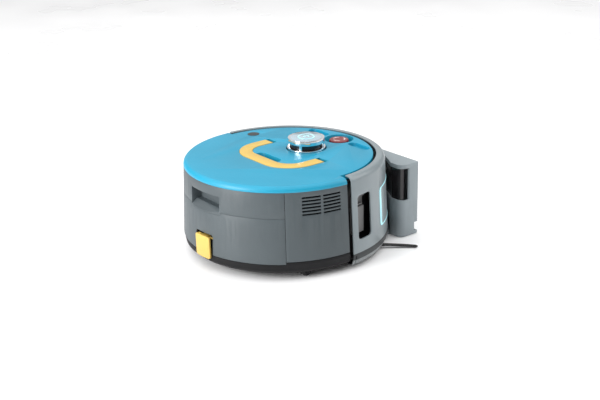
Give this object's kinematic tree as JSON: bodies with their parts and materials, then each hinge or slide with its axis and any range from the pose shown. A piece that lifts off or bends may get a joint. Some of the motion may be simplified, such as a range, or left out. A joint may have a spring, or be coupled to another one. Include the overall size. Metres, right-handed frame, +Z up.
{
  "type": "robot vacuum cleaner",
  "caption": "Round floor-cleaning robot with lift-up carry handle, ranging turret, stop button, pull-out dust and battery drawers, parked on its charging dock.",
  "frame": {"origin": "on the floor under the vertical axis of the robot's round body", "axes": "+Z up; -Y is the robot's front, where the dock stands; +Y is the rear with the drawers; -X is the robot's right"},
  "size_m": [0.4496, 0.4687, 0.225],
  "materials": {
    "lid_blue": "satin moulded plastic, light blue",
    "wall_grey": "fine-grained moulded plastic, mid grey",
    "bumper_grey": "satin moulded plastic, light grey",
    "trim_dark": "matt dark grey plastic",
    "skirt_grey": "pale grey translucent plastic",
    "base_black": "matt near-black plastic",
    "handle_yellow": "soft satin plastic, warm yellow",
    "chrome": "polished plating",
    "cap_white": "glossy white plastic",
    "light_cyan": "lit diffuser, pale cyan",
    "stop_red": "glossy red plastic",
    "window_dark": "dark infrared-passing plastic",
    "sensor_grey": "matt grey plastic",
    "tyre_rubber": "ribbed black rubber",
    "roller_black": "smooth black rubber",
    "bristle": "black nylon bristle",
    "steel": "turned steel",
    "brass": "plated contacts",
    "battery_dark": "matt shrink-wrapped pack",
    "bin_smoke": "smoked plastic",
    "filter_white": "pleated filter paper",
    "board_green": "circuit board",
    "dock_grey": "fine-grained moulded plastic, grey",
    "foot_rubber": "rubber feet"
  },
  "bodies": {
    "chassis": {"chassis_base": "base_black", "front_shell": "base_black", "middle_deck": "base_black", "side_shell_right": "wall_grey", "side_shell_left": "wall_grey", "lid": "lid_blue", "status_disc": "trim_dark", "turret_deck": "base_black", "turret_cage": "chrome", "turret_top": "cap_white", "button_light_ring": "light_cyan", "stop_housing": "trim_dark", "side_sensors": "sensor_grey", "side_brush_motors": "sensor_grey", "brush_tunnel": "base_black", "suction_duct": "base_black", "fan_housing": "base_black", "control_board": "board_green", "charge_pads": "brass"},
    "handle": {"carry_handle": "handle_yellow"},
    "power_button": {"power_button": "cap_white"},
    "rotor": {"ranging_rotor": "window_dark"},
    "stop_plunger": {"stop_plunger": "stop_red"},
    "stop_head": {"stop_head": "stop_red"},
    "bumper": {"bumper_shell": "bumper_grey", "bumper_trim": "trim_dark", "bumper_skirt": "skirt_grey", "bumper_light": "light_cyan", "front_window": "window_dark"},
    "dust_drawer": {"bin_panel": "wall_grey", "dust_bin": "bin_smoke", "bin_filter": "filter_white"},
    "battery_drawer": {"battery_door": "wall_grey", "battery_tray": "base_black", "battery_pack": "battery_dark"},
    "latch": {"latch_tab": "handle_yellow"},
    "arm_right": {"drive_arm_right": "sensor_grey"},
    "arm_left": {"drive_arm_left": "sensor_grey"},
    "wheel_right": {"wheel_hub_right": "sensor_grey", "wheel_tyre_right": "tyre_rubber"},
    "wheel_left": {"wheel_hub_left": "sensor_grey", "wheel_tyre_left": "tyre_rubber"},
    "caster_fork": {"caster_fork": "base_black"},
    "caster_wheel": {"caster_wheel": "roller_black"},
    "roller_right": {"rear_roller_right": "roller_black"},
    "roller_left": {"rear_roller_left": "roller_black"},
    "side_brush_right": {"side_brush_hub_right": "base_black", "side_brush_bristles_right": "bristle"},
    "side_brush_left": {"side_brush_hub_left": "base_black", "side_brush_bristles_left": "bristle"},
    "main_brush": {"main_brush_core": "sensor_grey", "main_brush_bristles": "bristle"},
    "impeller": {"fan_impeller": "sensor_grey"},
    "dock": {"dock_tower": "dock_grey", "dock_window": "window_dark", "dock_back_cover": "dock_grey", "dock_plate": "dock_grey", "dock_contacts": "brass", "power_inlet": "base_black", "dock_feet": "foot_rubber"}
  },
  "joints": [
    {"name": "handle_hinge", "type": "hinge", "parent": "chassis", "child": "handle", "pos_m": [0, -0.026, 0.1946], "axis": [1, 0, 0], "range_deg": [0, 95]},
    {"name": "power_button_press", "type": "slide", "parent": "chassis", "child": "power_button", "axis": [0, 0, -1], "range_m": [0, 0.0015], "stiffness_N_per_m": 400, "springref_m": -0.001},
    {"name": "ranging_spin", "type": "hinge", "parent": "chassis", "child": "rotor", "pos_m": [0, -0.063, 0.2], "axis": [0, 0, 1], "continuous": true},
    {"name": "stop_press", "type": "slide", "parent": "chassis", "child": "stop_plunger", "axis": [0, 0, -1], "range_m": [0, 0.004], "stiffness_N_per_m": 900, "springref_m": -0.003},
    {"name": "stop_twist", "type": "hinge", "parent": "stop_plunger", "child": "stop_head", "pos_m": [0, -0.156, 0.195], "axis": [0, 0, -1], "range_deg": [0, 45], "stiffness_Nm_per_rad": 0.05},
    {"name": "bumper_press", "type": "slide", "parent": "chassis", "child": "bumper", "axis": [0, 1, 0], "range_m": [0, 0.003], "stiffness_N_per_m": 1500, "springref_m": -0.003},
    {"name": "dust_drawer_slide", "type": "slide", "parent": "chassis", "child": "dust_drawer", "axis": [0, 1, 0], "range_m": [0, 0.2]},
    {"name": "battery_drawer_slide", "type": "slide", "parent": "chassis", "child": "battery_drawer", "axis": [0, 1, 0], "range_m": [0, 0.14]},
    {"name": "latch_hinge", "type": "hinge", "parent": "battery_drawer", "child": "latch", "pos_m": [-0.01375, 0.21256, 0.07], "axis": [0.9979, 0.0645, 0], "range_deg": [0, 25], "stiffness_Nm_per_rad": 0.2, "springref_deg": -11.46},
    {"name": "suspension_right", "type": "hinge", "parent": "chassis", "child": "arm_right", "pos_m": [-0.127, 0.048, 0.046], "axis": [1, 0, 0], "range_deg": [0, 10], "stiffness_Nm_per_rad": 1, "springref_deg": 17.19},
    {"name": "wheel_spin_right", "type": "hinge", "parent": "arm_right", "child": "wheel_right", "pos_m": [-0.15, 0, 0.042], "axis": [1, 0, 0], "continuous": true},
    {"name": "roller_spin_right", "type": "hinge", "parent": "chassis", "child": "roller_right", "pos_m": [-0.177, 0.083, 0.013], "axis": [1, 0, 0], "continuous": true},
    {"name": "side_brush_spin_right", "type": "hinge", "parent": "chassis", "child": "side_brush_right", "pos_m": [-0.1625, -0.109, 0.01], "axis": [0, 0, 1], "continuous": true, "deforming": ["side_brush_bristles_right"]},
    {"name": "suspension_left", "type": "hinge", "parent": "chassis", "child": "arm_left", "pos_m": [0.127, 0.048, 0.046], "axis": [1, 0, 0], "range_deg": [0, 10], "stiffness_Nm_per_rad": 1, "springref_deg": 17.19},
    {"name": "wheel_spin_left", "type": "hinge", "parent": "arm_left", "child": "wheel_left", "pos_m": [0.15, 0, 0.042], "axis": [1, 0, 0], "continuous": true},
    {"name": "roller_spin_left", "type": "hinge", "parent": "chassis", "child": "roller_left", "pos_m": [0.177, 0.083, 0.013], "axis": [1, 0, 0], "continuous": true},
    {"name": "side_brush_spin_left", "type": "hinge", "parent": "chassis", "child": "side_brush_left", "pos_m": [0.1625, -0.109, 0.01], "axis": [0, 0, 1], "continuous": true, "deforming": ["side_brush_bristles_left"]},
    {"name": "caster_swivel", "type": "hinge", "parent": "chassis", "child": "caster_fork", "pos_m": [0, -0.13, 0.04], "axis": [0, 0, 1], "continuous": true},
    {"name": "caster_spin", "type": "hinge", "parent": "caster_fork", "child": "caster_wheel", "pos_m": [0, -0.12, 0.017], "axis": [1, 0, 0], "continuous": true},
    {"name": "main_brush_spin", "type": "hinge", "parent": "chassis", "child": "main_brush", "pos_m": [0, -0.072, 0.0205], "axis": [1, 0, 0], "continuous": true},
    {"name": "fan_spin", "type": "hinge", "parent": "chassis", "child": "impeller", "pos_m": [0, 0.005, 0.08], "axis": [0, 0, 1], "continuous": true},
    {"name": "dock_undock", "type": "slide", "parent": "chassis", "child": "dock", "axis": [0, -1, 0], "range_m": [0, 0.25]}
  ]
}
